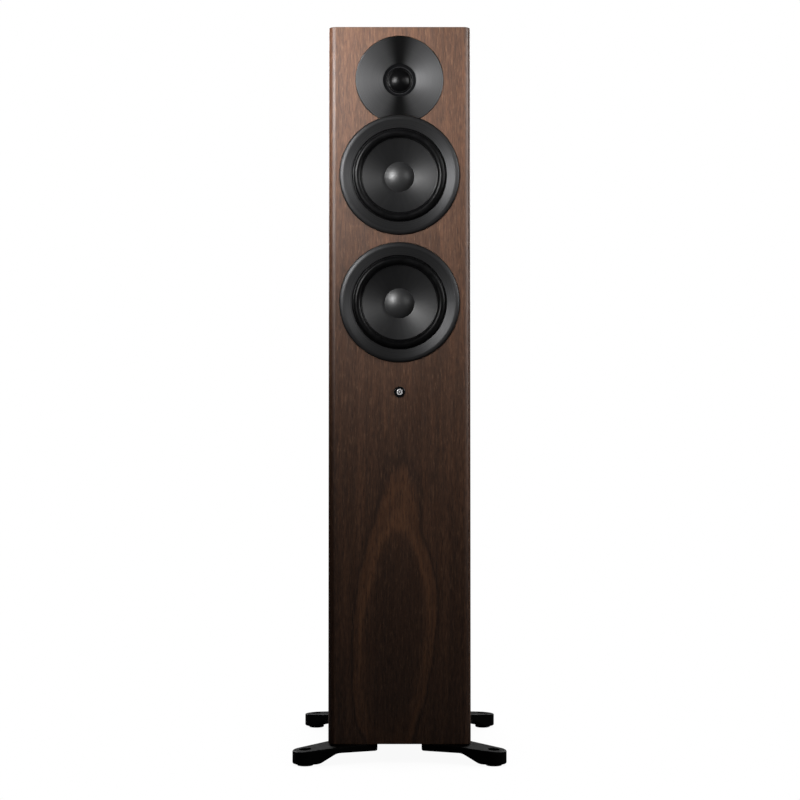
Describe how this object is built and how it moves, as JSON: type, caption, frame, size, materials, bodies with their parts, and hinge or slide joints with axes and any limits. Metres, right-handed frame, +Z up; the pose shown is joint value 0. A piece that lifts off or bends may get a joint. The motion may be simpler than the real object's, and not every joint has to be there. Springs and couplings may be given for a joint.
{
  "type": "floorstanding speaker",
  "caption": "Tall narrow walnut-veneered loudspeaker with a dome tweeter over two cone woofers, a rear port and splayed levelling feet",
  "frame": {"origin": "on the floor under the middle of the cabinet, level with the undersides of the rubber pads", "axes": "+Z up, +X to the right of someone looking at the baffle, so the baffle faces -Y and the terminals face +Y"},
  "size_m": [0.268, 0.324, 0.932],
  "materials": {
    "walnut_veneer": "satin oiled walnut veneer",
    "fibreboard": "raw medium-density fibreboard",
    "black_satin_metal": "satin black anodised, turned",
    "cast_alloy": "die cast",
    "black_powder_coat": "fine black powder coat on a casting",
    "cone_polymer": "moulded mineral-filled polymer",
    "rubber_black": "moulded rubber",
    "spider_cloth": "resin-dipped cotton",
    "coil_copper": "enamelled copper winding on a former",
    "dome_cloth": "coated silk",
    "foam_gasket": "closed-cell foam",
    "ferrite": "sintered ferrite",
    "zinc_steel": "zinc plated",
    "black_oxide_steel": "black oxide",
    "black_moulding": "satin moulding",
    "red_moulding": "gloss moulding",
    "gilt_brass": "gold plated",
    "circuit_board": "glass laminate",
    "capacitor_wrap": "film wrap",
    "ceramic": "unglazed ceramic",
    "cable_jacket": "flexible insulation",
    "wool_wadding": "polyester wool",
    "badge_enamel": "gloss black enamel"
  },
  "bodies": {
    "cabinet_body": {"badge": "badge_enamel", "black_binding_post": "gilt_brass", "bottom_panel": "fibreboard", "crossover_board": "circuit_board", "crossover_capacitors": "capacitor_wrap", "crossover_coils": "coil_copper", "crossover_resistors": "ceramic", "damping_wool": "wool_wadding", "foot_bolts": "black_oxide_steel", "front_baffle": "fibreboard", "front_left_foot": "black_powder_coat", "front_right_foot": "black_powder_coat", "left_side_panel": "fibreboard", "lower_woofer_basket": "cast_alloy", "lower_woofer_spider": "spider_cloth", "lower_woofer_surround": "rubber_black", "lower_woofer_trim_ring": "black_satin_metal", "port_tube": "black_moulding", "rear_left_foot": "black_powder_coat", "rear_panel": "fibreboard", "rear_right_foot": "black_powder_coat", "red_binding_post": "gilt_brass", "right_side_panel": "fibreboard", "terminal_cup": "black_moulding", "top_panel": "fibreboard", "tweeter_faceplate": "black_satin_metal", "tweeter_housing": "cast_alloy", "tweeter_magnet": "ferrite", "tweeter_top_plate": "zinc_steel", "tweeter_yoke": "zinc_steel", "upper_woofer_basket": "cast_alloy", "upper_woofer_spider": "spider_cloth", "upper_woofer_surround": "rubber_black", "upper_woofer_trim_ring": "black_satin_metal", "veneer_wrap": "walnut_veneer", "window_braces": "fibreboard", "wiring_harness": "cable_jacket", "wood_screws": "black_oxide_steel", "woofer_gaskets": "foam_gasket", "woofer_magnets": "ferrite", "woofer_top_plates": "zinc_steel", "woofer_yokes": "zinc_steel"},
    "upper_cone_body": {"upper_woofer_cone": "cone_polymer", "upper_woofer_voice_coil": "coil_copper"},
    "lower_cone_body": {"lower_woofer_cone": "cone_polymer", "lower_woofer_voice_coil": "coil_copper"},
    "tweeter_dome_body": {"tweeter_dome": "dome_cloth", "tweeter_voice_coil": "coil_copper"},
    "black_clamp_washer_body": {"black_clamp_washer": "black_moulding"},
    "black_terminal_nut_body": {"black_terminal_nut": "black_moulding"},
    "red_clamp_washer_body": {"red_clamp_washer": "red_moulding"},
    "red_terminal_nut_body": {"red_terminal_nut": "red_moulding"},
    "front_right_pad_body": {"front_right_pad": "rubber_black"},
    "front_right_level_screw_body": {"front_right_level_screw": "black_oxide_steel"},
    "front_left_pad_body": {"front_left_pad": "rubber_black"},
    "front_left_level_screw_body": {"front_left_level_screw": "black_oxide_steel"},
    "rear_right_pad_body": {"rear_right_pad": "rubber_black"},
    "rear_right_level_screw_body": {"rear_right_level_screw": "black_oxide_steel"},
    "rear_left_pad_body": {"rear_left_pad": "rubber_black"},
    "rear_left_level_screw_body": {"rear_left_level_screw": "black_oxide_steel"}
  },
  "joints": [
    {"name": "upper_cone_slide", "type": "slide", "parent": "cabinet_body", "child": "upper_cone_body", "axis": [0, 1, 0], "range_m": [-0.005, 0.005], "stiffness_N_per_m": 1400, "deforming": ["upper_woofer_surround", "upper_woofer_spider"]},
    {"name": "lower_cone_slide", "type": "slide", "parent": "cabinet_body", "child": "lower_cone_body", "axis": [0, 1, 0], "range_m": [-0.005, 0.005], "stiffness_N_per_m": 1400, "deforming": ["lower_woofer_surround", "lower_woofer_spider"]},
    {"name": "tweeter_dome_slide", "type": "slide", "parent": "cabinet_body", "child": "tweeter_dome_body", "axis": [0, 1, 0], "range_m": [-0.0003, 0.0003], "stiffness_N_per_m": 1200, "deforming": ["tweeter_dome"]},
    {"name": "black_clamp_slide", "type": "slide", "parent": "cabinet_body", "child": "black_clamp_washer_body", "axis": [0, 1, 0], "range_m": [0, 0.005]},
    {"name": "black_nut_turn", "type": "hinge", "parent": "black_clamp_washer_body", "child": "black_terminal_nut_body", "pos_m": [-0.01905, 0.137, 0.13], "axis": [0, 1, 0], "range_deg": [0, 1800]},
    {"name": "red_clamp_slide", "type": "slide", "parent": "cabinet_body", "child": "red_clamp_washer_body", "axis": [0, 1, 0], "range_m": [0, 0.005]},
    {"name": "red_nut_turn", "type": "hinge", "parent": "red_clamp_washer_body", "child": "red_terminal_nut_body", "pos_m": [0.01905, 0.137, 0.13], "axis": [0, 1, 0], "range_deg": [0, 1800]},
    {"name": "front_right_level_slide", "type": "slide", "parent": "cabinet_body", "child": "front_right_pad_body", "axis": [0, 0, -1], "range_m": [0, 0.00625]},
    {"name": "front_right_level_turn", "type": "hinge", "parent": "front_right_pad_body", "child": "front_right_level_screw_body", "pos_m": [0.118, -0.146, 0.01], "axis": [0, 0, -1], "range_deg": [0, 1800]},
    {"name": "front_left_level_slide", "type": "slide", "parent": "cabinet_body", "child": "front_left_pad_body", "axis": [0, 0, -1], "range_m": [0, 0.00625]},
    {"name": "front_left_level_turn", "type": "hinge", "parent": "front_left_pad_body", "child": "front_left_level_screw_body", "pos_m": [-0.118, -0.146, 0.01], "axis": [0, 0, -1], "range_deg": [0, 1800]},
    {"name": "rear_right_level_slide", "type": "slide", "parent": "cabinet_body", "child": "rear_right_pad_body", "axis": [0, 0, -1], "range_m": [0, 0.00625]},
    {"name": "rear_right_level_turn", "type": "hinge", "parent": "rear_right_pad_body", "child": "rear_right_level_screw_body", "pos_m": [0.118, 0.146, 0.01], "axis": [0, 0, -1], "range_deg": [0, 1800]},
    {"name": "rear_left_level_slide", "type": "slide", "parent": "cabinet_body", "child": "rear_left_pad_body", "axis": [0, 0, -1], "range_m": [0, 0.00625]},
    {"name": "rear_left_level_turn", "type": "hinge", "parent": "rear_left_pad_body", "child": "rear_left_level_screw_body", "pos_m": [-0.118, 0.146, 0.01], "axis": [0, 0, -1], "range_deg": [0, 1800]}
  ],
  "couplings": [
    {"joint": "black_nut_turn", "follows": "black_clamp_slide", "rad_per_m": 6283.2},
    {"joint": "red_nut_turn", "follows": "red_clamp_slide", "rad_per_m": 6283.2},
    {"joint": "front_right_level_turn", "follows": "front_right_level_slide", "rad_per_m": 5026.5},
    {"joint": "front_left_level_turn", "follows": "front_left_level_slide", "rad_per_m": 5026.5},
    {"joint": "rear_right_level_turn", "follows": "rear_right_level_slide", "rad_per_m": 5026.5},
    {"joint": "rear_left_level_turn", "follows": "rear_left_level_slide", "rad_per_m": 5026.5}
  ]
}
